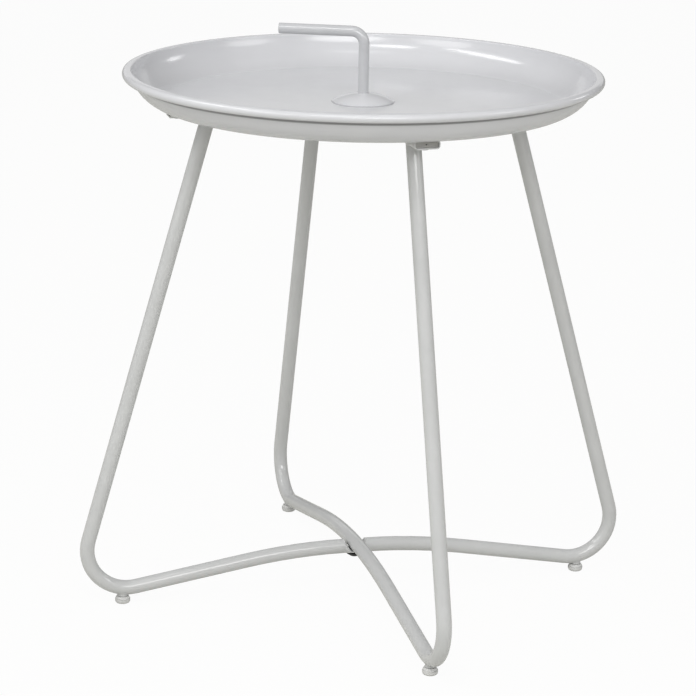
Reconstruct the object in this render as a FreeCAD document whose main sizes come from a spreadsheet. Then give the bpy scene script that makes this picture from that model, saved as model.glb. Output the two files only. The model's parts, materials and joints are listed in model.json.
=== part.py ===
import FreeCAD, Part
import math
import os

import Sketcher
from FreeCAD import Placement, Vector

# Driving dimensions in millimetres and degrees.
# Heights are above the ground, reaches are distances from the table's upright axis and insets are
# distances inward from the rim or from a bracket's outer end.
sizes = {
    # Dished tray with a crease round its floor and a flat lip that ends in a rolled edge
    "tray_radius": 225.0,
    "tray_depth": 30.0,
    "floor_height": 484.0,
    "tray_sheet": 1.0,
    "crease_radius": 6.0,
    "crease_angle": 15.0,
    "dish_radius": 34.0,
    "wall_angle": 79.0,
    "lip_width": 8.4,
    "lip_bend_radius": 0.5,
    "roll_radius": 4.0,
    "roll_turn": 170.0,
    # Two bent tube frames, the lower one pressed flat where they cross
    "tube_radius": 7.0,
    "tube_wall": 1.2,
    "foot_bend_radius": 40.0,
    "foot_bend_reach": 224.0,
    "arch_radius": 580.0,
    "crossing_height": 42.4,
    "cross_angle": 93.63,
    "flat_thickness": 3.8,
    "flat_bow": 17.0,
    "flat_edge": 0.8,
    "flat_margin": 0.2,
    "press_margin": 3.5,
    "crossing_gap": 0.1,
    # Flat tube brackets between the legs and the tray, their outer ends plugged
    "bracket_inset": 40.0,
    "bracket_length": 60.0,
    "bracket_width": 24.0,
    "bracket_height": 8.0,
    "bracket_wall": 1.2,
    "bracket_corner": 3.0,
    "leg_inset": 38.0,
    "plug_recess": 2.5,
    "plug_thickness": 1.5,
    "plug_vent_radius": 0.8,
    # Screws from below each bracket into nuts on the tray
    "screw_inset": 9.0,
    "screw_radius": 2.5,
    "screw_head_radius": 5.0,
    "screw_head_height": 1.4,
    "screw_socket": 3.0,
    "nut_radius": 4.5,
    "nut_height": 4.0,
    # Larger bolts under the handle and under the crossing
    "bolt_radius": 3.0,
    "bolt_head_radius": 5.25,
    "bolt_head_height": 2.4,
    "bolt_socket": 4.0,
    "crossing_washer_radius": 7.5,
    "crossing_washer_thickness": 1.0,
    "insert_radius": 4.5,
    "insert_height": 8.0,
    "handle_washer_radius": 12.0,
    "handle_washer_thickness": 1.5,
    # Lifting handle with a domed cover disc
    "handle_radius": 5.0,
    "handle_bend_radius": 12.0,
    "handle_rise": 66.0,
    "handle_length": 80.7,
    "handle_angle": 157.65,
    "handle_edge": 0.8,
    "handle_tap_depth": 14.0,
    "disc_radius": 29.0,
    "disc_edge": 1.2,
    "disc_rise": 8.5,
    "disc_sheet": 1.5,
    # Adjustable feet
    "foot_offset": 6.0,
    "neck_height": 1.0,
    "pad_radius": 7.25,
    "pad_height": 7.0,
    "pad_sole_radius": 5.0,
    "pad_sole_round": 2.6,
    "pad_groove_height": 4.4,
    "pad_groove_width": 0.6,
    "pad_groove_depth": 0.6,
    "pad_top_radius": 5.8,
    "pad_floor": 2.0,
    "boss_radius": 4.7,
    "boss_height": 6.1,
    "foot_gap": 0.4,
    "stud_radius": 3.0,
    "stud_headroom": 1.3,
    # Clearances
    "thread_clearance": 0.05,
    "slip_clearance": 0.05,
    "hole_clearance": 0.3,
    "nut_clearance": 0.15,
    "tip_clearance": 0.5,
}

doc = FreeCAD.newDocument("side_table")
sheet = doc.addObject("Spreadsheet::Sheet", "Sizes")
for row, (name, number) in enumerate(sizes.items(), start=1):
    sheet.set(f"A{row}", name)
    sheet.set(f"B{row}", str(number))
    sheet.setAlias(f"B{row}", name)
doc.recompute()


class Measure:
    """A number together with the sheet expression that gives it."""

    def __init__(self, value, text):
        self.value = value
        self.text = text

    def __add__(self, other):
        other = measure(other)
        return Measure(self.value + other.value, f"({self.text} + {other.text})")

    def __sub__(self, other):
        other = measure(other)
        return Measure(self.value - other.value, f"({self.text} - {other.text})")

    def __mul__(self, other):
        other = measure(other)
        return Measure(self.value * other.value, f"({self.text} * {other.text})")

    def __truediv__(self, other):
        other = measure(other)
        return Measure(self.value / other.value, f"({self.text} / {other.text})")

    def __neg__(self):
        return Measure(-self.value, f"(-{self.text})")


def measure(item):
    if isinstance(item, Measure):
        return item
    return Measure(float(item), f"({float(item)})")


def size(name):
    return Measure(sizes[name], f"Sizes.{name}")


def sine(angle):
    return Measure(math.sin(math.radians(angle.value)), f"sin({angle.text})")


def cosine(angle):
    return Measure(math.cos(math.radians(angle.value)), f"cos({angle.text})")


def tangent(angle):
    return Measure(math.tan(math.radians(angle.value)), f"tan({angle.text})")


def arcsine(ratio):
    return Measure(math.degrees(math.asin(ratio.value)), f"(asin({ratio.text}) / 1 deg)")


def arccosine(ratio):
    return Measure(math.degrees(math.acos(ratio.value)), f"(acos({ratio.text}) / 1 deg)")


def arctangent(ratio):
    return Measure(math.degrees(math.atan(ratio.value)), f"(atan({ratio.text}) / 1 deg)")


def root(square):
    return Measure(math.sqrt(square.value), f"sqrt({square.text})")


zero = measure(0)
floor = size("floor_height")
tray_underside = floor - size("tray_sheet")
bracket_bottom = tray_underside - size("bracket_height")
tube_radius = size("tube_radius")
tube_bore = tube_radius - size("tube_wall")
flat_bottom = size("crossing_height") - tube_radius
flat_top = flat_bottom + size("flat_thickness")
flat_half_length = size("insert_radius") + size("flat_margin")
upper_crossing = flat_top + size("crossing_gap") + tube_radius
pad_top = size("pad_height")
foot_tube_height = pad_top + size("neck_height") + tube_radius
foot_reach = size("foot_bend_reach") + size("foot_offset")
bracket_outer_reach = size("tray_radius") - size("bracket_inset")
leg_top_reach = bracket_outer_reach - size("leg_inset")
screw_reach = bracket_outer_reach - size("screw_inset")
stud_bore = size("stud_radius") + size("thread_clearance")
bolt_hole = size("bolt_radius") + size("hole_clearance")
bolt_thread = size("bolt_radius") + size("thread_clearance")

corners = {
    "right": zero,
    "back": size("cross_angle"),
    "left": measure(180),
    "front": size("cross_angle") + 180,
}
pieces = []


def new_body(label):
    body = doc.addObject("PartDesign::Body", label)
    body.Label = label
    return body


def new_sketch(body, name, plane, offset=zero):
    sketch = body.newObject("Sketcher::SketchObject", f"{body.Name}_{name}")
    origin = [feature for feature in body.Origin.OriginFeatures if feature.Role == plane]
    sketch.AttachmentSupport = [(origin[0], "")]
    sketch.MapMode = "FlatFace"
    sketch.AttachmentOffset = Placement(Vector(0, 0, offset.value), FreeCAD.Rotation())
    if offset is not zero:
        sketch.setExpression("AttachmentOffset.Base.z", offset.text)
    return sketch


def bind_constraint(sketch, constraint, amount):
    index = sketch.addConstraint(constraint)
    sketch.setExpression(f"Constraints[{index}]", amount.text)


def fix_point(sketch, geometry, position, x, y):
    for kind, amount in (("DistanceX", x), ("DistanceY", y)):
        point = Sketcher.Constraint(kind, -1, 1, geometry, position, amount.value)
        bind_constraint(sketch, point, amount)


def fix_radius(sketch, geometry, radius):
    bind_constraint(sketch, Sketcher.Constraint("Radius", geometry, radius.value), radius)


def draw_circle(sketch, radius, x=zero, y=zero):
    center = Vector(x.value, y.value, 0)
    geometry = sketch.addGeometry(Part.Circle(center, Vector(0, 0, 1), radius.value))
    fix_point(sketch, geometry, 3, x, y)
    fix_radius(sketch, geometry, radius)


def arc_to(center_x, center_y, radius, turn):
    """The edge that leaves a corner as an arc: turn is 1 for leftward and -1 for rightward."""
    return center_x, center_y, radius, turn


def draw_path(sketch, points, closed):
    """Lines and arcs through the points: each is x, y and, where an arc leaves it, the arc."""
    ends = points[1:] + points[:1] if closed else points[1:]
    edges = []
    for first, last in zip(points, ends):
        start = Vector(first[0].value, first[1].value, 0)
        end = Vector(last[0].value, last[1].value, 0)
        if len(first) == 2:
            geometry = sketch.addGeometry(Part.LineSegment(start, end))
            edges.append((geometry, 1, 2))
            continue
        center_x, center_y, radius, turn = first[2]
        center = Vector(center_x.value, center_y.value, 0)
        from_point, to_point = (start, end) if turn > 0 else (end, start)
        angles = [math.atan2(spot.y - center.y, spot.x - center.x) for spot in (from_point, to_point)]
        if angles[1] <= angles[0]:
            angles[1] += 2 * math.pi
        circle = Part.Circle(center, Vector(0, 0, 1), radius.value)
        geometry = sketch.addGeometry(Part.ArcOfCircle(circle, *angles))
        edges.append((geometry, 1, 2) if turn > 0 else (geometry, 2, 1))
    for number, (geometry, start, end) in enumerate(edges):
        fix_point(sketch, geometry, start, points[number][0], points[number][1])
        if number + 1 < len(edges) or closed:
            following, following_start, following_end = edges[(number + 1) % len(edges)]
            joint = Sketcher.Constraint("Coincident", geometry, end, following, following_start)
            sketch.addConstraint(joint)
        else:
            fix_point(sketch, geometry, end, points[-1][0], points[-1][1])
        if len(points[number]) == 3:
            fix_radius(sketch, geometry, points[number][2][2])


def draw_rounded_box(sketch, half_width, low, high, corner):
    left = -half_width
    right = half_width
    draw_path(sketch, [
        (left + corner, low),
        (right - corner, low, arc_to(right - corner, low + corner, corner, 1)),
        (right, low + corner),
        (right, high - corner, arc_to(right - corner, high - corner, corner, 1)),
        (right - corner, high),
        (left + corner, high, arc_to(left + corner, high - corner, corner, 1)),
        (left, high - corner),
        (left, low + corner, arc_to(left + corner, low + corner, corner, 1)),
    ], closed=True)


def revolve(body, sketch):
    feature = body.newObject("PartDesign::Revolution", f"{body.Name}_turned")
    feature.Profile = sketch
    feature.ReferenceAxis = (sketch, ["V_Axis"])
    feature.Angle = 360.0
    doc.recompute()


def pad(body, sketch, length):
    feature = body.newObject("PartDesign::Pad", f"{sketch.Name}_pad")
    feature.Profile = sketch
    feature.Length = length.value
    feature.setExpression("Length", length.text)
    doc.recompute()


def cut_upward(body, sketch, depth=None):
    """Cuts a level sketch upward, right through where no depth is given."""
    before = body.Shape.Volume
    feature = body.newObject("PartDesign::Pocket", f"{sketch.Name}_cut")
    feature.Profile = sketch
    feature.Reversed = True
    if depth is None:
        feature.Type = "ThroughAll"
    else:
        feature.Length = depth.value
        feature.setExpression("Length", depth.text)
    doc.recompute()
    if not body.Shape.Volume < before - 0.1:
        raise ValueError(f"{sketch.Name} cuts nothing")


def drill_upward(body, name, radius, height, depth, reach=zero):
    sketch = new_sketch(body, name, "XY_Plane", height)
    draw_circle(sketch, radius, reach)
    doc.recompute()
    cut_upward(body, sketch, depth)


def sweep(body, profile, spine):
    feature = body.newObject("PartDesign::AdditivePipe", f"{profile.Name}_swept")
    feature.Profile = profile
    feature.Spine = spine
    doc.recompute()


def loft(body, kind, first, second):
    feature = body.newObject(f"PartDesign::{kind}", f"{first.Name}_loft")
    feature.Profile = first
    feature.Sections = [second]
    feature.Ruled = True
    doc.recompute()


def place(piece, angle, reach=zero):
    x = reach * cosine(angle)
    y = reach * sine(angle)
    turn = f"rotation(vector(0; 0; 1); {angle.text})"
    piece.setExpression("Placement", f"placement(vector({x.text}; {y.text}; 0); {turn})")


def turned_piece(label, points):
    """A piece turned from a half section, points being radius and height."""
    body = new_body(label)
    sketch = new_sketch(body, "section", "XZ_Plane")
    draw_path(sketch, points, closed=True)
    revolve(body, sketch)
    pieces.append(body)
    return body


def ring_piece(label, bore, radius, low, height):
    high = low + height
    return turned_piece(label, [(bore, low), (radius, low), (radius, high), (bore, high)])


def button_screw(label, kind, seat, tip):
    """A button head screw pointing up, with its head under the seat height."""
    shank = size(f"{kind}_radius")
    head_radius = size(f"{kind}_head_radius")
    head_height = size(f"{kind}_head_height")
    crown_radius = head_radius * 0.6
    crown = seat - head_height
    brim = seat - head_height * 0.15
    lead = shank * 0.2
    run = head_radius - crown_radius
    fall = brim - crown
    bow = (run * run + fall * fall) / (run * 2)
    body = turned_piece(label, [
        (zero, crown),
        (crown_radius, crown, arc_to(head_radius - bow, brim, bow, 1)),
        (head_radius, brim),
        (head_radius, seat),
        (shank, seat),
        (shank, tip - lead),
        (shank - lead, tip),
        (zero, tip),
    ])
    corner = size(f"{kind}_socket") / cosine(measure(30)) / 2
    socket = new_sketch(body, "socket", "XY_Plane", crown)
    spots = [measure(60 * number) for number in range(6)]
    draw_path(socket, [(corner * cosine(spot), corner * sine(spot)) for spot in spots], closed=True)
    doc.recompute()
    cut_upward(body, socket, head_height * 0.55)
    return body


def tray_top():
    sheet_metal = size("tray_sheet")
    wall = size("wall_angle")
    lip_top = floor + size("tray_depth")
    roll = size("roll_radius")
    inner_roll = roll - sheet_metal
    roll_x = size("tray_radius") - roll
    roll_y = lip_top - roll
    roll_end = measure(90) - size("roll_turn")
    inner_bend = size("lip_bend_radius")
    bend = inner_bend + sheet_metal
    bend_x = size("tray_radius") - size("lip_width") + bend * sine(wall)
    bend_y = lip_top - bend
    crease = size("crease_radius")
    crease_angle = size("crease_angle")
    outer_crease = crease + sheet_metal
    crease_y = floor + crease
    dish = size("dish_radius")
    outer_dish = dish + sheet_metal
    dish_y = crease_y + (dish - crease) * cosine(crease_angle)
    straight = bend_y + bend * cosine(wall) - dish_y + dish * cosine(wall)
    dish_x = bend_x - bend * sine(wall) - straight / tangent(wall) - dish * sine(wall)
    crease_x = dish_x + (dish - crease) * sine(crease_angle)

    def on_bend(radius):
        return bend_x - radius * sine(wall), bend_y + radius * cosine(wall)

    def on_dish(radius, angle):
        return dish_x + radius * sine(angle), dish_y - radius * cosine(angle)

    def at_end(radius):
        return roll_x + radius * cosine(roll_end), roll_y + radius * sine(roll_end)

    turned_piece("tray_top", [
        (bolt_hole, tray_underside),
        (crease_x, tray_underside, arc_to(crease_x, crease_y, outer_crease, 1)),
        (*on_dish(outer_dish, crease_angle), arc_to(dish_x, dish_y, outer_dish, 1)),
        on_dish(outer_dish, wall),
        (*on_bend(inner_bend), arc_to(bend_x, bend_y, inner_bend, -1)),
        (bend_x, lip_top - sheet_metal),
        (roll_x, lip_top - sheet_metal, arc_to(roll_x, roll_y, inner_roll, -1)),
        at_end(inner_roll),
        (*at_end(roll), arc_to(roll_x, roll_y, roll, 1)),
        (roll_x, lip_top),
        (bend_x, lip_top, arc_to(bend_x, bend_y, bend, 1)),
        on_bend(bend),
        (*on_dish(dish, wall), arc_to(dish_x, dish_y, dish, -1)),
        (*on_dish(dish, crease_angle), arc_to(crease_x, crease_y, crease, -1)),
        (crease_x, floor),
        (bolt_hole, floor),
    ])


def handle_bar():
    arm_height = floor + size("handle_rise")
    bend = size("handle_bend_radius")
    length = size("handle_length")
    body = new_body("handle_bar")
    spine = new_sketch(body, "spine", "XZ_Plane")
    draw_path(spine, [
        (zero, floor),
        (zero, arm_height - bend, arc_to(bend, arm_height - bend, bend, -1)),
        (bend, arm_height),
        (length, arm_height),
    ], closed=False)
    section = new_sketch(body, "section", "XY_Plane", floor)
    draw_circle(section, size("handle_radius"))
    doc.recompute()
    sweep(body, section, spine)
    rounded = body.newObject("PartDesign::Fillet", "handle_bar_end")
    swept = rounded.BaseFeature
    ends = [number for number, edge in enumerate(swept.Shape.Edges, start=1)
            if abs(edge.BoundBox.XMin - length.value) < 0.01]
    rounded.Base = (swept, [f"Edge{number}" for number in ends])
    rounded.Radius = size("handle_edge").value
    rounded.setExpression("Radius", size("handle_edge").text)
    doc.recompute()
    drill_upward(body, "tapping", bolt_thread, floor, size("handle_tap_depth"))
    place(body, size("handle_angle"))
    pieces.append(body)


def handle_disc():
    hole = size("handle_radius") + size("slip_clearance")
    rim = size("disc_radius")
    edge = size("disc_edge")
    rise = size("disc_rise")
    sink = (rim * rim + edge * edge - hole * hole - rise * rise) / ((rise - edge) * 2)
    outer = root(rim * rim + (sink + edge) * (sink + edge))
    inner = outer - size("disc_sheet")
    inner_top = root(inner * inner - hole * hole) - sink
    inner_rim = root(inner * inner - sink * sink)
    turned_piece("handle_disc", [
        (inner_rim, floor),
        (rim, floor),
        (rim, floor + edge, arc_to(zero, floor - sink, outer, 1)),
        (hole, floor + rise),
        (hole, floor + inner_top, arc_to(zero, floor - sink, inner, -1)),
    ])


def handle_fixing():
    thickness = size("handle_washer_thickness")
    seat = tray_underside - thickness
    ring_piece("handle_washer", bolt_hole, size("handle_washer_radius"), seat, thickness)
    tip = floor + size("handle_tap_depth") - size("tip_clearance") * 4
    button_screw("handle_bolt", "bolt", seat, tip)


def frame_spine(body, crossing, start):
    """The centreline of half a frame: arch, straight rail, foot bend and leg."""
    bend = size("foot_bend_radius")
    bend_x = size("foot_bend_reach")
    bend_y = foot_tube_height + bend
    arch = size("arch_radius")
    arch_y = crossing - arch
    run = bend_x - start
    drop = bend_y - arch_y
    slope = arctangent(run / drop) - arccosine((arch + bend) / root(run * run + drop * drop))
    lean_run = bend_x - leg_top_reach
    lean_rise = bracket_bottom - bend_y
    lean = (arctangent(lean_run / lean_rise)
            + arcsine(bend / root(lean_run * lean_run + lean_rise * lean_rise)))
    spine = new_sketch(body, "spine", "XZ_Plane")
    draw_path(spine, [
        (start, crossing, arc_to(start, arch_y, arch, -1)),
        (start + arch * sine(slope), arch_y + arch * cosine(slope)),
        (bend_x - bend * sine(slope), bend_y - bend * cosine(slope), arc_to(bend_x, bend_y, bend, 1)),
        (bend_x + bend * cosine(lean), bend_y + bend * sine(lean)),
        (leg_top_reach - tube_radius * tangent(lean), bracket_bottom + tube_radius),
    ], closed=False)
    return spine


def draw_quarters(sketch, radius, height):
    """A circle in four quarter arcs, so that its edges pair with those of a flat section."""
    side = radius * cosine(measure(45))
    quarter = arc_to(zero, height, radius, 1)
    draw_path(sketch, [
        (-side, height - side, quarter),
        (side, height - side, quarter),
        (side, height + side, quarter),
        (-side, height + side, quarter),
    ], closed=True)


def draw_pressed(sketch, bow, edge, low, thickness):
    """A flat-topped section with a bowed underside and rounded sides."""
    high = low + thickness
    bow_y = low + bow
    side_x = root((thickness - edge * 2) * (bow * 2 - thickness))
    side_y = high - edge
    share = bow / (bow - edge)
    tip_x = side_x * share
    tip_y = bow_y - (bow_y - side_y) * share
    draw_path(sketch, [
        (-tip_x, tip_y, arc_to(zero, bow_y, bow, 1)),
        (tip_x, tip_y, arc_to(side_x, side_y, edge, 1)),
        (side_x, high),
        (-side_x, high, arc_to(-side_x, side_y, edge, 1)),
    ], closed=True)


def frame_half(label, crossing, start):
    body = new_body(f"{label}_half")
    spine = frame_spine(body, crossing, start)
    ring = new_sketch(body, "ring", "YZ_Plane", start)
    draw_circle(ring, tube_radius, zero, crossing)
    draw_circle(ring, tube_bore, zero, crossing)
    doc.recompute()
    sweep(body, ring, spine)
    return body


def finish_frame(label, half, angle):
    """Trims the leg, drills the foot and joins the half with its mirror image."""
    trim = new_sketch(half, "leg_top", "XY_Plane", bracket_bottom)
    draw_circle(trim, tube_radius * 2, leg_top_reach)
    doc.recompute()
    cut_upward(half, trim)
    hole = size("boss_radius") + size("slip_clearance")
    drill_upward(half, "foot_hole", hole, zero, foot_tube_height, foot_reach)
    other = doc.addObject("Part::Mirroring", f"{label}_other_half")
    other.Source = half
    other.Normal = Vector(1, 0, 0)
    whole = doc.addObject("Part::Fuse", label)
    whole.Base = half
    whole.Tool = other
    whole.Refine = True
    whole.Label = label
    place(whole, angle)
    doc.recompute()
    pieces.append(whole)


def lower_frame():
    label = "lower_frame_tube"
    height = size("crossing_height")
    thickness = size("flat_thickness")
    bow = size("flat_bow")
    edge = size("flat_edge")
    press_reach = tube_radius + size("press_margin")
    half = frame_half(label, height, press_reach)
    flat = new_sketch(half, "flat", "YZ_Plane")
    draw_pressed(flat, bow, edge, flat_bottom, thickness)
    doc.recompute()
    pad(half, flat, flat_half_length)
    press_start = new_sketch(half, "press_start", "YZ_Plane", flat_half_length)
    draw_pressed(press_start, bow, edge, flat_bottom, thickness)
    press_end = new_sketch(half, "press_end", "YZ_Plane", press_reach)
    draw_quarters(press_end, tube_radius, height)
    doc.recompute()
    loft(half, "AdditiveLoft", press_start, press_end)
    wall = size("tube_wall")
    slit_start = new_sketch(half, "slit_start", "YZ_Plane", flat_half_length)
    draw_pressed(slit_start, bow - wall, edge * 0.4, flat_bottom + wall, thickness - wall * 2)
    slit_end = new_sketch(half, "slit_end", "YZ_Plane", press_reach)
    draw_quarters(slit_end, tube_bore, height)
    doc.recompute()
    loft(half, "SubtractiveLoft", slit_start, slit_end)
    drill_upward(half, "bolt_hole", bolt_hole, zero, height)
    finish_frame(label, half, zero)


def upper_frame():
    label = "upper_frame_tube"
    half = frame_half(label, upper_crossing, zero)
    hole = size("insert_radius") + size("slip_clearance")
    drill_upward(half, "insert_hole", hole, zero, upper_crossing)
    finish_frame(label, half, size("cross_angle"))


def crossing_fixing():
    thickness = size("crossing_washer_thickness")
    seat = flat_bottom - thickness
    ring_piece("crossing_washer", bolt_hole, size("crossing_washer_radius"), seat, thickness)
    ring_piece("crossing_insert", bolt_thread, size("insert_radius"), flat_top, size("insert_height"))
    tip = flat_top + size("insert_height") - size("tip_clearance")
    button_screw("crossing_bolt", "bolt", seat, tip)


def bracket(side, angle):
    wall = size("bracket_wall")
    half_width = size("bracket_width") / 2
    corner = size("bracket_corner")
    middle = bracket_bottom + size("bracket_height") / 2
    length = size("bracket_length")
    body = new_body(f"{side}_bracket")
    section = new_sketch(body, "section", "YZ_Plane", bracket_outer_reach - length)
    draw_rounded_box(section, half_width, bracket_bottom, tray_underside, corner)
    draw_rounded_box(section, half_width - wall, bracket_bottom + wall, tray_underside - wall,
                     corner - wall)
    doc.recompute()
    pad(body, section, length)
    screw_hole = size("screw_radius") + size("hole_clearance")
    drill_upward(body, "screw_hole", screw_hole, bracket_bottom, middle - bracket_bottom, screw_reach)
    nut_hole = size("nut_radius") + size("nut_clearance")
    drill_upward(body, "nut_hole", nut_hole, middle, None, screw_reach)
    place(body, angle)
    pieces.append(body)


def bracket_plug(side, angle):
    thickness = size("plug_thickness")
    inner_reach = bracket_outer_reach - size("plug_recess") - thickness
    inside = size("bracket_wall") + size("slip_clearance")
    half_width = size("bracket_width") / 2 - inside
    low = bracket_bottom + inside
    high = tray_underside - inside
    body = new_body(f"{side}_bracket_plug")
    section = new_sketch(body, "section", "YZ_Plane", inner_reach)
    draw_rounded_box(section, half_width, low, high, size("bracket_corner") - inside)
    draw_circle(section, size("plug_vent_radius"), zero, (low + high) / 2)
    doc.recompute()
    pad(body, section, thickness)
    place(body, angle)
    pieces.append(body)


def bracket_fixing(side, angle):
    bore = size("screw_radius") + size("thread_clearance")
    low = tray_underside - size("nut_height")
    nut = ring_piece(f"{side}_tray_nut", bore, size("nut_radius"), low, size("nut_height"))
    place(nut, angle, screw_reach)
    tip = tray_underside - size("tip_clearance")
    screw = button_screw(f"{side}_bracket_screw", "screw", bracket_bottom, tip)
    place(screw, angle, screw_reach)


def foot(side, angle):
    radius = size("pad_radius")
    sole = size("pad_sole_radius")
    sole_round = size("pad_sole_round")
    spread = radius - sole
    bow = (spread * spread + sole_round * sole_round) / (spread * 2)
    groove_low = size("pad_groove_height")
    groove_high = groove_low + size("pad_groove_width")
    groove_radius = radius - size("pad_groove_depth")
    shoulder = radius - size("pad_groove_width") / 2
    foot_pad = turned_piece(f"{side}_foot_pad", [
        (zero, zero),
        (sole, zero, arc_to(radius - bow, sole_round, bow, 1)),
        (radius, sole_round),
        (radius, groove_low),
        (groove_radius, groove_low),
        (groove_radius, groove_high),
        (shoulder, groove_high),
        (size("pad_top_radius"), pad_top),
        (stud_bore, pad_top),
        (stud_bore, size("pad_floor")),
        (zero, size("pad_floor")),
    ])
    place(foot_pad, angle, foot_reach)
    boss_low = pad_top + size("foot_gap")
    boss = ring_piece(f"{side}_foot_boss", stud_bore, size("boss_radius"), boss_low, size("boss_height"))
    place(boss, angle, foot_reach)
    lead = size("stud_radius") * 0.2
    stud_top = foot_tube_height + tube_bore - size("stud_headroom")
    stud = turned_piece(f"{side}_foot_stud", [
        (zero, size("pad_floor")),
        (size("stud_radius"), size("pad_floor")),
        (size("stud_radius"), stud_top - lead),
        (size("stud_radius") - lead, stud_top),
        (zero, stud_top),
    ])
    place(stud, angle, foot_reach)


tray_top()
handle_bar()
handle_disc()
handle_fixing()
lower_frame()
upper_frame()
crossing_fixing()
for side, angle in corners.items():
    bracket(side, angle)
    bracket_plug(side, angle)
    bracket_fixing(side, angle)
    foot(side, angle)
doc.recompute()

for item in doc.Objects:
    if "Invalid" in item.State or "Error" in item.State:
        raise ValueError(f"{item.Label} failed: {item.State}")
for piece in pieces:
    shape = piece.Shape
    if shape.isNull() or not shape.isValid() or len(shape.Solids) != 1:
        raise ValueError(f"{piece.Label} is not one sound solid")

os.makedirs("parts", exist_ok=True)
for piece in pieces:
    piece.Shape.exportStep(f"parts/{piece.Label}.step")
print(f"{len(pieces)} pieces written")
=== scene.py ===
import json
import math

import bmesh
import bpy
from mathutils import Matrix, Vector

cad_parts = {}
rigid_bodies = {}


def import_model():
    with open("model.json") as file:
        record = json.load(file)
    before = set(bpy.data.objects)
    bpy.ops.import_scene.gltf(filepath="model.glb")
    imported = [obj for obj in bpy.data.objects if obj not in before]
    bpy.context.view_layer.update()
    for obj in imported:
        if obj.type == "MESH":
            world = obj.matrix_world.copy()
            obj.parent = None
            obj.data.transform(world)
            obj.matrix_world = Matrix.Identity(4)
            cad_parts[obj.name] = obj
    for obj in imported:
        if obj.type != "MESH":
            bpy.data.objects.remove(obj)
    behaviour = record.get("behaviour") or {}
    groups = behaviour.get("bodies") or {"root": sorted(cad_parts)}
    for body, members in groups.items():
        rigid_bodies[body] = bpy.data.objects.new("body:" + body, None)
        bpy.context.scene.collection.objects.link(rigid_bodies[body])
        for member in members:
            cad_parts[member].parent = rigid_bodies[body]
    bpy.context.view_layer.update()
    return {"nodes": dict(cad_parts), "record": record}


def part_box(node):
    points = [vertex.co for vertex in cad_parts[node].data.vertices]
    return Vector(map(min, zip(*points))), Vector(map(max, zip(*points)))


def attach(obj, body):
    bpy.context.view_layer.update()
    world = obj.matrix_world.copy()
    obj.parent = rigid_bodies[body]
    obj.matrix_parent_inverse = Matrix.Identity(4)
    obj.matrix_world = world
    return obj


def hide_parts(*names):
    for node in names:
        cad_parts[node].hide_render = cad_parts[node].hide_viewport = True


# start from an empty scene
for leftOver in list(bpy.data.objects):
    bpy.data.objects.remove(leftOver)

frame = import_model()
nodes = frame["nodes"]
print("frame loaded with", len(nodes), "nodes")

# the table's four corners, as turns about the upright axis in degrees
frameCross = 93.63
cornerTurns = {"right": 0.0, "back": frameCross, "left": 180.0, "front": 180.0 + frameCross}
footReach = 0.230  # from the upright axis to the middle of a foot


# shader helpers

def addNode(tree, kind, **settings):
    node = tree.nodes.new(kind)
    for key, value in settings.items():
        setattr(node, key, value)
    return node


def newGroup(name, inputs, outputs):
    group = bpy.data.node_groups.new(name, "ShaderNodeTree")
    for label, value in inputs.items():
        socket = group.interface.new_socket(label, in_out="INPUT", socket_type="NodeSocketFloat")
        socket.default_value = value
    for label in outputs:
        group.interface.new_socket(label, in_out="OUTPUT", socket_type="NodeSocketFloat")
    return group, group.nodes.new("NodeGroupInput"), group.nodes.new("NodeGroupOutput")


def placeGroup(tree, group, **values):
    node = addNode(tree, "ShaderNodeGroup", node_tree=group)
    for label, value in values.items():
        node.inputs[label.replace("_", " ")].default_value = value
    return node


def addNoise(tree, place, scaleFrom, noise):
    node = addNode(tree, "ShaderNodeTexNoise")
    node.inputs["Detail"].default_value = noise["detail"]
    node.inputs["Roughness"].default_value = noise["roughness"]
    tree.links.new(place, node.inputs["Vector"])
    tree.links.new(scaleFrom, node.inputs["Scale"])
    return node.outputs["Fac"]


def addRange(tree, value, low, high, toLow=0.0, toHigh=1.0):
    spread = addNode(tree, "ShaderNodeMapRange")
    tree.links.new(value, spread.inputs["Value"])
    spread.inputs["From Min"].default_value = low
    spread.inputs["From Max"].default_value = high
    spread.inputs["To Min"].default_value = toLow
    spread.inputs["To Max"].default_value = toHigh
    return spread.outputs["Result"]


def addMath(tree, operation, first, second):
    node = addNode(tree, "ShaderNodeMath", operation=operation)
    for socket, value in zip(node.inputs, (first, second)):
        if isinstance(value, (int, float)):
            socket.default_value = value
        else:
            tree.links.new(value, socket)
    return node.outputs["Value"]


def addColorMix(tree, factor, first, second):
    mix = addNode(tree, "ShaderNodeMix", data_type="RGBA")
    tree.links.new(factor, mix.inputs[0])
    for socket, value in zip(mix.inputs[6:8], (first, second)):  # the two colour sockets
        if isinstance(value, tuple):
            socket.default_value = (*value, 1.0)
        else:
            tree.links.new(value, socket)
    return mix.outputs[2]


# effects that the finishes share

grainEffect = {
    "peel": {"detail": 2.0, "roughness": 0.5}, "peelShare": 0.75,
    "grain": {"detail": 1.0, "roughness": 0.5}, "grainShare": 0.25,
    "clouds": {"detail": 4.0, "roughness": 0.6}, "cloudRange": (0.32, 0.68),
    "specks": {"detail": 6.0, "roughness": 0.75}, "speckRange": (0.66, 0.74),
}


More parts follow.
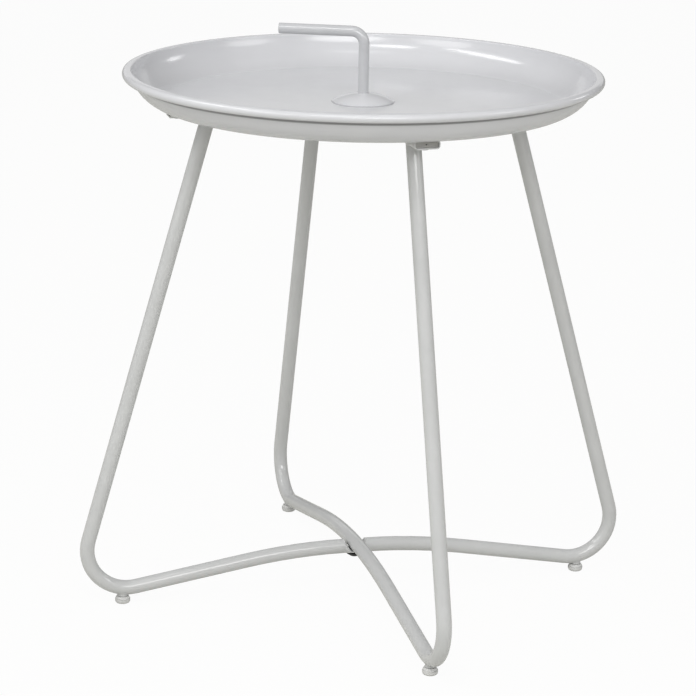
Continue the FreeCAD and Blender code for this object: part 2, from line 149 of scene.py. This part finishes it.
def buildSurfaceGrain(effect):
    # orange peel and fine powder grain for the height, slow clouds and rare specks as masks
    group, start, end = newGroup(
        "surfaceGrain",
        {"Peel per metre": 420.0, "Grain per metre": 2600.0, "Clouds per metre": 9.0},
        ["Height", "Clouds", "Specks"])
    place = addNode(group, "ShaderNodeTexCoord").outputs["Object"]
    peel = addNoise(group, place, start.outputs["Peel per metre"], effect["peel"])
    grain = addNoise(group, place, start.outputs["Grain per metre"], effect["grain"])
    clouds = addNoise(group, place, start.outputs["Clouds per metre"], effect["clouds"])
    specks = addNoise(group, place, start.outputs["Peel per metre"], effect["specks"])
    coarse = addMath(group, "MULTIPLY", peel, effect["peelShare"])
    fine = addMath(group, "MULTIPLY", grain, effect["grainShare"])
    group.links.new(addMath(group, "ADD", coarse, fine), end.inputs["Height"])
    group.links.new(addRange(group, clouds, *effect["cloudRange"]), end.inputs["Clouds"])
    group.links.new(addRange(group, specks, *effect["speckRange"]), end.inputs["Specks"])
    return group


dustEffect = {"patches": {"detail": 5.0, "roughness": 0.65}, "patchRange": (0.35, 0.75),
              "facingRange": (0.2, 1.0), "dulling": 0.6}


def buildSettledDust(effect):
    # a thin film that gathers on faces that look up, broken by noise
    group, start, end = newGroup("settledDust", {"Patches per metre": 26.0}, ["Dust"])
    place = addNode(group, "ShaderNodeTexCoord").outputs["Object"]
    facing = addNode(group, "ShaderNodeSeparateXYZ")
    group.links.new(addNode(group, "ShaderNodeNewGeometry").outputs["Normal"], facing.inputs["Vector"])
    level = addRange(group, facing.outputs["Z"], *effect["facingRange"])
    patches = addNoise(group, place, start.outputs["Patches per metre"], effect["patches"])
    broken = addRange(group, patches, *effect["patchRange"])
    group.links.new(addMath(group, "MULTIPLY", level, broken), end.inputs["Dust"])
    return group


surfaceGrain = buildSurfaceGrain(grainEffect)
settledDust = buildSettledDust(dustEffect)
print("shared effects built")


# finishes

def finishMaterial(name, look):
    material = bpy.data.materials.new(name)
    material.use_nodes = True
    tree = material.node_tree
    shader = tree.nodes["Principled BSDF"]
    grain = placeGroup(tree, surfaceGrain, Peel_per_metre=look["peel"], Grain_per_metre=look["grain"],
                       Clouds_per_metre=look["clouds"])
    dust = placeGroup(tree, settledDust, Patches_per_metre=look["patches"])
    tone = addColorMix(tree, grain.outputs["Clouds"], look["deep"], look["light"])
    speckled = addColorMix(tree, addMath(tree, "MULTIPLY", grain.outputs["Specks"], look["specks"]),
                           tone, look["speckColor"])
    dusty = addColorMix(tree, addMath(tree, "MULTIPLY", dust.outputs["Dust"], look["dust"]),
                        speckled, look["dustColor"])
    tree.links.new(dusty, shader.inputs["Base Color"])
    gloss = addRange(tree, grain.outputs["Clouds"], 0.0, 1.0, *look["roughness"])
    dull = addMath(tree, "MULTIPLY", dust.outputs["Dust"], look["dust"] * dustEffect["dulling"])
    tree.links.new(addMath(tree, "ADD", gloss, dull), shader.inputs["Roughness"])
    bump = addNode(tree, "ShaderNodeBump")
    bump.inputs["Strength"].default_value = look["bump"]
    bump.inputs["Distance"].default_value = look["depth"]
    tree.links.new(grain.outputs["Height"], bump.inputs["Height"])
    tree.links.new(bump.outputs["Normal"], shader.inputs["Normal"])
    for label, value in look["shader"].items():
        shader.inputs[label].default_value = value
    return material


# peel, grain, clouds and patches are counted per metre, depth is in metres
trayCoatLook = {
    "deep": (0.575, 0.578, 0.595), "light": (0.610, 0.613, 0.631), "roughness": (0.14, 0.18),
    "peel": 380.0, "grain": 2400.0, "clouds": 7.0, "bump": 0.05, "depth": 0.0004,
    "specks": 0.10, "speckColor": (0.47, 0.47, 0.48),
    "patches": 22.0, "dust": 0.05, "dustColor": (0.62, 0.60, 0.57),
    "shader": {"Metallic": 0.0, "IOR": 1.5, "Coat Weight": 0.35, "Coat Roughness": 0.14},
}
frameCoatLook = {
    "deep": (0.500, 0.504, 0.501), "light": (0.540, 0.544, 0.541), "roughness": (0.11, 0.15),
    "peel": 460.0, "grain": 2800.0, "clouds": 14.0, "bump": 0.08, "depth": 0.0004,
    "specks": 0.12, "speckColor": (0.45, 0.45, 0.45),
    "patches": 40.0, "dust": 0.05, "dustColor": (0.60, 0.58, 0.55),
    "shader": {"Metallic": 0.0, "IOR": 1.5, "Coat Weight": 0.45, "Coat Roughness": 0.07},
}
# a darker copy of the tray's coat for the handle's bar: painted shade for the darker light the bar gets
handleShadedCoatLook = {
    "deep": (0.475, 0.480, 0.492), "light": (0.510, 0.515, 0.528), "roughness": (0.10, 0.14),
    "peel": 520.0, "grain": 3000.0, "clouds": 24.0, "bump": 0.06, "depth": 0.0003,
    "specks": 0.10, "speckColor": (0.46, 0.46, 0.47),
    "patches": 60.0, "dust": 0.04, "dustColor": (0.62, 0.60, 0.57),
    "shader": {"Metallic": 0.0, "IOR": 1.5, "Coat Weight": 0.45, "Coat Roughness": 0.07},
}
# a darker copy of the frame's coat for the brackets' end plugs: painted shade of the recess they sit in
plugShadedCoatLook = {
    "deep": (0.385, 0.378, 0.362), "light": (0.425, 0.418, 0.400), "roughness": (0.30, 0.42),
    "peel": 620.0, "grain": 3600.0, "clouds": 90.0, "bump": 0.10, "depth": 0.0003,
    "specks": 0.12, "speckColor": (0.30, 0.30, 0.29),
    "patches": 120.0, "dust": 0.05, "dustColor": (0.40, 0.39, 0.37),
    "shader": {"Metallic": 0.0, "IOR": 1.5},
}
blackSteelLook = {
    "deep": (0.012, 0.012, 0.013), "light": (0.028, 0.028, 0.030), "roughness": (0.26, 0.40),
    "peel": 800.0, "grain": 4800.0, "clouds": 180.0, "bump": 0.10, "depth": 0.0002,
    "specks": 0.25, "speckColor": (0.06, 0.06, 0.06),
    "patches": 90.0, "dust": 0.05, "dustColor": (0.20, 0.19, 0.18),
    "shader": {"Metallic": 0.0, "IOR": 1.6},
}
zincSteelLook = {
    "deep": (0.40, 0.40, 0.39), "light": (0.56, 0.56, 0.54), "roughness": (0.30, 0.48),
    "peel": 900.0, "grain": 5200.0, "clouds": 160.0, "bump": 0.12, "depth": 0.0002,
    "specks": 0.35, "speckColor": (0.30, 0.30, 0.29),
    "patches": 90.0, "dust": 0.08, "dustColor": (0.42, 0.41, 0.39),
    "shader": {"Metallic": 1.0, "IOR": 1.5},
}
footPlasticLook = {
    "deep": (0.55, 0.55, 0.54), "light": (0.61, 0.61, 0.60), "roughness": (0.46, 0.58),
    "peel": 700.0, "grain": 4200.0, "clouds": 60.0, "bump": 0.14, "depth": 0.0003,
    "specks": 0.10, "speckColor": (0.42, 0.42, 0.41),
    "patches": 120.0, "dust": 0.06, "dustColor": (0.52, 0.50, 0.47),
    "shader": {"Metallic": 0.0, "IOR": 1.48},
}
finishes = {
    "tray_coat": finishMaterial("trayCoat", trayCoatLook),
    "frame_coat": finishMaterial("frameCoat", frameCoatLook),
    "black_steel": finishMaterial("blackSteel", blackSteelLook),
    "zinc_steel": finishMaterial("zincSteel", zincSteelLook),
    "foot_plastic": finishMaterial("footPlastic", footPlasticLook),
}

# painted shade under the tray's rolled edge, where the edge's shadow falls; start, full and end are
# metres below the roll
foldPaintedShade = {"rollHeight": 0.008, "start": 0.0038, "full": 0.0026, "end": 0.0004, "share": 0.8}


def addFoldPaintedShade(tree, level, height):
    # a band of painted shade in the fold under the tray's rolled edge, only on the side of the wall that
    # faces outwards
    outward = addNode(tree, "ShaderNodeVectorMath", operation="DOT_PRODUCT")
    tree.links.new(level, outward.inputs[0])
    tree.links.new(addNode(tree, "ShaderNodeNewGeometry").outputs["Normal"], outward.inputs[1])
    outside = addMath(tree, "GREATER_THAN", outward.outputs["Value"], 0.0)
    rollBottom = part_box("tray_top")[1].z - foldPaintedShade["rollHeight"]
    above = addRange(tree, height, rollBottom - foldPaintedShade["start"], rollBottom - foldPaintedShade["full"])
    below = addRange(tree, height, rollBottom - foldPaintedShade["end"], rollBottom, 1.0, 0.0)
    band = addMath(tree, "MULTIPLY", addMath(tree, "MULTIPLY", above, below), outside)
    return addMath(tree, "MULTIPLY", band, foldPaintedShade["share"])


# painted shadow round the handle's disc; full and end are metres past the disc's edge, below and above
# are metres from the tray's floor
discPaintedShadow = {"full": 0.0003, "end": 0.0012, "below": (0.0006, 0.0002), "above": 0.0002, "share": 0.55}


def addDiscPaintedShadow(tree, level, height):
    # a thin ring of painted shadow on the tray's floor, round the handle's disc
    discLow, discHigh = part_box("handle_disc")
    ringStart = discHigh.x + discPaintedShadow["full"]
    ringEnd = discHigh.x + discPaintedShadow["end"]
    reach = addNode(tree, "ShaderNodeVectorMath", operation="LENGTH")
    tree.links.new(level, reach.inputs[0])
    past = addRange(tree, reach.outputs["Value"], ringStart, ringEnd, 1.0, 0.0)
    overSheet = addRange(tree, height, *[discLow.z - drop for drop in discPaintedShadow["below"]])
    nearFloor = addMath(tree, "LESS_THAN", height, discLow.z + discPaintedShadow["above"])
    onFloor = addMath(tree, "MULTIPLY", overSheet, nearFloor)
    return addMath(tree, "MULTIPLY", addMath(tree, "MULTIPLY", past, onFloor), discPaintedShadow["share"])


# dark colour of the painted shade under the rolled edge and of the painted shadow round the disc
paintedShadeColor = (0.16, 0.16, 0.165)


# mixes painted shade into the tray coat's colour, under the rolled edge and round the handle's disc
def addPaintedShade(material):
    tree = material.node_tree
    shader = tree.nodes["Principled BSDF"]
    paint = shader.inputs["Base Color"].links[0].from_socket
    place = addNode(tree, "ShaderNodeTexCoord").outputs["Object"]
    upright = addNode(tree, "ShaderNodeSeparateXYZ")
    tree.links.new(place, upright.inputs["Vector"])
    level = addNode(tree, "ShaderNodeVectorMath", operation="MULTIPLY")
    tree.links.new(place, level.inputs[0])
    level.inputs[1].default_value = (1.0, 1.0, 0.0)  # leaves the height out
    fold = addFoldPaintedShade(tree, level.outputs["Vector"], upright.outputs["Z"])
    ring = addDiscPaintedShadow(tree, level.outputs["Vector"], upright.outputs["Z"])
    shadeMask = addMath(tree, "MAXIMUM", fold, ring)
    tree.links.new(addColorMix(tree, shadeMask, paint, paintedShadeColor), shader.inputs["Base Color"])


addPaintedShade(finishes["tray_coat"])
for part in frame["record"]["subparts"]:
    mesh = nodes[part["node"]].data
    mesh.materials.clear()
    mesh.materials.append(finishes[part["material_slot"]])
# the handle's bar gets the darker copy of the coat as painted shade, the disc keeps the tray's coat
nodes["handle_bar"].data.materials[0] = finishMaterial("handleShadedCoat", handleShadedCoatLook)
nodes["handle_disc"].data.materials[0] = finishes["tray_coat"]
# the end plugs get the darker coat as painted shade of the recess in the bracket's end
plugShadedCoat = finishMaterial("plugShadedCoat", plugShadedCoatLook)
for corner in cornerTurns:
    nodes[corner + "_bracket_plug"].data.materials[0] = plugShadedCoat
print("finishes set on the table's own pieces")


# new pieces

mergeGap = 0.00001


def addPiece(name, bm, slot, body):
    bmesh.ops.remove_doubles(bm, verts=bm.verts, dist=mergeGap)
    bmesh.ops.recalc_face_normals(bm, faces=bm.faces)
    for face in bm.faces:
        face.smooth = True
    mesh = bpy.data.meshes.new(name)
    bm.to_mesh(mesh)
    bm.free()
    mesh.materials.append(finishes[slot])
    piece = bpy.data.objects.new(name, mesh)
    bpy.context.scene.collection.objects.link(piece)
    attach(piece, body)
    return piece


def spunRing(weld):
    # a round bead bent into a ring about the upright axis
    bm = bmesh.new()
    stand = Matrix.Translation((weld["ring"], 0, 0)) @ Matrix.Rotation(math.pi / 2, 4, "X")
    bmesh.ops.create_circle(bm, cap_ends=False, radius=weld["bead"], segments=weld["sides"], matrix=stand)
    bmesh.ops.spin(bm, geom=bm.verts[:] + bm.edges[:], cent=(0, 0, 0), axis=(0, 0, 1), dvec=(0, 0, 0),
                   angle=2 * math.pi, steps=weld["steps"], use_merge=True, use_duplicate=False)
    return bm


def turnTo(bm, reach, height, turn):
    moved = Matrix.Rotation(math.radians(turn), 4, "Z") @ Matrix.Translation((reach, 0, height))
    bmesh.ops.transform(bm, matrix=moved, verts=bm.verts)


# rippled bead where a leaning leg meets the underside of its bracket
legWeld = {"reach": 0.147, "drop": 0.0001, "ring": 0.0073, "bead": 0.0012, "sides": 12, "steps": 124,
           "lean": 15.77, "ripples": 31, "ripple": 0.00014}
for corner, turn in cornerTurns.items():
    bm = spunRing(legWeld)
    for vert in bm.verts:
        around = math.atan2(vert.co.y, vert.co.x)
        swell = 1 + legWeld["ripple"] / legWeld["ring"] * math.sin(legWeld["ripples"] * around)
        vert.co.x *= swell
        vert.co.y *= swell
    wide = 1 / math.cos(math.radians(legWeld["lean"]))
    bmesh.ops.scale(bm, vec=(wide, 1.0, 1.0), verts=bm.verts)
    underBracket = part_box(corner + "_bracket")[0].z
    turnTo(bm, legWeld["reach"], underBracket - legWeld["drop"], turn)
    addPiece(corner + "LegWeld", bm, "frame_coat", "table")
print("leg welds laid")

# bead round a foot's boss, laid on the underside of the tube's bend
bossWeld = {"ring": 0.0050, "bead": 0.00065, "sides": 12, "steps": 72, "bendReach": 0.224,
            "bendHeight": 0.055, "bendRadius": 0.040, "tubeRadius": 0.007, "sink": 0.0001}
for corner, turn in cornerTurns.items():
    bm = spunRing(bossWeld)
    for vert in bm.verts:
        along = footReach + vert.co.x - bossWeld["bendReach"]
        axisHeight = bossWeld["bendHeight"] - math.sqrt(bossWeld["bendRadius"] ** 2 - along ** 2)
        tubeDrop = math.sqrt(bossWeld["tubeRadius"] ** 2 - vert.co.y ** 2)
        vert.co.z += axisHeight - tubeDrop + bossWeld["sink"]
    turnTo(bm, footReach, 0.0, turn)
    addPiece(corner + "BossWeld", bm, "frame_coat", "table")
print("boss welds laid")

# a foot's stud with its thread: a plain core and a ridge wound round it
footThread = {"core": 0.00245, "major": 0.00297, "root": 0.00215, "pitch": 0.001, "rootShare": 0.96,
              "crestShare": 0.2, "startDrop": 0.0002, "coreSides": 48, "turnSteps": 24, "endSides": 8}
for corner, turn in cornerTurns.items():
    studLow, studHigh = [end.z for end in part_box(corner + "_foot_stud")]
    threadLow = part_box(corner + "_foot_pad")[1].z - footThread["startDrop"]
    bm = bmesh.new()
    middle = Matrix.Translation((0, 0, (studLow + studHigh) / 2))
    bmesh.ops.create_cone(bm, cap_ends=True, segments=footThread["coreSides"], radius1=footThread["core"],
                          radius2=footThread["core"], depth=studHigh - studLow, matrix=middle)
    rootHalf = footThread["pitch"] / 2 * footThread["rootShare"]
    crestHalf = footThread["pitch"] / 2 * footThread["crestShare"]
    section = [(footThread["root"], -rootHalf), (footThread["major"], -crestHalf),
               (footThread["major"], crestHalf), (footThread["root"], rootHalf)]
    rim = [bm.verts.new((radius, 0, threadLow + rise)) for radius, rise in section]
    ridge = bm.faces.new(rim)
    turns = int((studHigh - threadLow) / footThread["pitch"]) - 1
    lift = (0, 0, footThread["pitch"] / footThread["turnSteps"])
    bmesh.ops.spin(bm, geom=rim + ridge.edges[:] + [ridge], cent=(0, 0, 0), axis=(0, 0, 1), dvec=lift,
                   angle=2 * math.pi * turns, steps=turns * footThread["turnSteps"],
                   use_merge=False, use_duplicate=False)
    openEdges = [edge for edge in bm.edges if edge.is_boundary]
    bmesh.ops.holes_fill(bm, edges=openEdges, sides=footThread["endSides"])
    turnTo(bm, footReach, 0.0, turn)
    thread = addPiece(corner + "FootThread", bm, "zinc_steel", corner + "_foot")
    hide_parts(corner + "_foot_stud")
print("foot threads cut")


# studio

studio = {"floorSize": 40.0, "floorColor": (0.68, 0.676, 0.635, 1.0), "floorWhite": 0.95,
          "brightSide": (-0.50, -0.86, 0.10), "worldLight": (0.32, 0.95), "worldWhite": 1.0,
          "aim": (0.0, 0.0, 0.45)}

bm = bmesh.new()
bmesh.ops.create_grid(bm, x_segments=1, y_segments=1, size=studio["floorSize"] / 2)
floorMesh = bpy.data.meshes.new("studioFloor")
bm.to_mesh(floorMesh)
bm.free()
floor = bpy.data.objects.new("studioFloor", floorMesh)
bpy.context.scene.collection.objects.link(floor)

floorPaint = bpy.data.materials.new("floorPaint")
floorPaint.use_nodes = True
tree = floorPaint.node_tree
tree.nodes.clear()
rays = addNode(tree, "ShaderNodeLightPath")
paint = addNode(tree, "ShaderNodeBsdfDiffuse")
paint.inputs["Color"].default_value = studio["floorColor"]
white = addNode(tree, "ShaderNodeEmission")
share = addMath(tree, "MULTIPLY", rays.outputs["Is Camera Ray"], studio["floorWhite"])
blend = addNode(tree, "ShaderNodeMixShader")
tree.links.new(share, blend.inputs[0])
tree.links.new(paint.outputs[0], blend.inputs[1])
tree.links.new(white.outputs[0], blend.inputs[2])
# from below the floor is clear, so that the underside can be looked at
oneSided = addNode(tree, "ShaderNodeMixShader")
tree.links.new(addNode(tree, "ShaderNodeNewGeometry").outputs["Backfacing"], oneSided.inputs[0])
tree.links.new(blend.outputs[0], oneSided.inputs[1])
tree.links.new(addNode(tree, "ShaderNodeBsdfTransparent").outputs[0], oneSided.inputs[2])
tree.links.new(oneSided.outputs[0], addNode(tree, "ShaderNodeOutputMaterial").inputs["Surface"])
floorMesh.materials.append(floorPaint)

# a soft room, brighter towards one side and white for the camera
world = bpy.data.worlds.new("softRoom")
bpy.context.scene.world = world
world.use_nodes = True
tree = world.node_tree
tree.nodes.clear()
rays = addNode(tree, "ShaderNodeLightPath")
backdrop = addNode(tree, "ShaderNodeBackground")
toward = addNode(tree, "ShaderNodeVectorMath", operation="DOT_PRODUCT")
tree.links.new(addNode(tree, "ShaderNodeTexCoord").outputs["Generated"], toward.inputs[0])
toward.inputs[1].default_value = studio["brightSide"]
soft = addRange(tree, toward.outputs["Value"], -1.0, 1.0, *studio["worldLight"])
whiteness = addNode(tree, "ShaderNodeMix", data_type="FLOAT")
tree.links.new(rays.outputs["Is Camera Ray"], whiteness.inputs[0])
tree.links.new(soft, whiteness.inputs[2])
whiteness.inputs[3].default_value = studio["worldWhite"]
tree.links.new(whiteness.outputs[0], backdrop.inputs["Strength"])
tree.links.new(backdrop.outputs[0], addNode(tree, "ShaderNodeOutputWorld").inputs["Surface"])
print("floor and room set")

lamps = {
    "keySoftbox": {"place": (-0.76, -1.21, 1.99), "size": (0.8, 0.35), "power": 6.0},
    "frontSoftbox": {"place": (-0.18, -2.08, 1.42), "size": (1.6, 0.7), "power": 14.0},
    "leftSoftbox": {"place": (-1.64, 0.14, 1.93), "size": (1.9, 0.30), "power": 11.0},
    "lowLeftSoftbox": {"place": (-1.90, -1.10, 1.45), "size": (1.2, 0.8), "power": 7.0},
    "lowRightSoftbox": {"place": (1.75, -1.35, 1.30), "size": (1.0, 0.7), "power": 5.0},
    "rightSoftbox": {"place": (2.00, 0.69, 1.22), "size": (0.5, 0.30), "power": 1.6},
    "overheadSoftbox": {"place": (-0.13, -0.75, 2.60), "size": (0.9, 0.3), "power": 1.5},
    "backSoftbox": {"place": (0.60, 2.60, 0.95), "size": (3.0, 0.7), "power": 2.4},
}
for name, lamp in lamps.items():
    light = bpy.data.lights.new(name, "AREA")
    light.shape = "ELLIPSE"
    light.size, light.size_y = lamp["size"]
    light.energy = lamp["power"]
    lightObject = bpy.data.objects.new(name, light)
    lightObject.location = lamp["place"]
    aim = Vector(studio["aim"]) - Vector(lamp["place"])
    lightObject.rotation_euler = aim.to_track_quat("-Z", "Y").to_euler()
    bpy.context.scene.collection.objects.link(lightObject)
print("lamps hung")

camera = {"place": (-0.59923, -2.34775, 0.93130), "turn": (74.1545, -1.0254, -13.7952), "lens": 135.399,
          "sensor": 36.0, "farEnd": 100.0}
cameraData = bpy.data.cameras.new("photoCamera")
cameraData.sensor_width = camera["sensor"]
cameraData.lens = camera["lens"]
cameraData.clip_end = camera["farEnd"]
cameraObject = bpy.data.objects.new("photoCamera", cameraData)
cameraObject.location = camera["place"]
cameraObject.rotation_euler = [math.radians(angle) for angle in camera["turn"]]
bpy.context.scene.collection.objects.link(cameraObject)
bpy.context.scene.camera = cameraObject
bpy.context.scene.view_settings.view_transform = "Standard"
print("camera set")
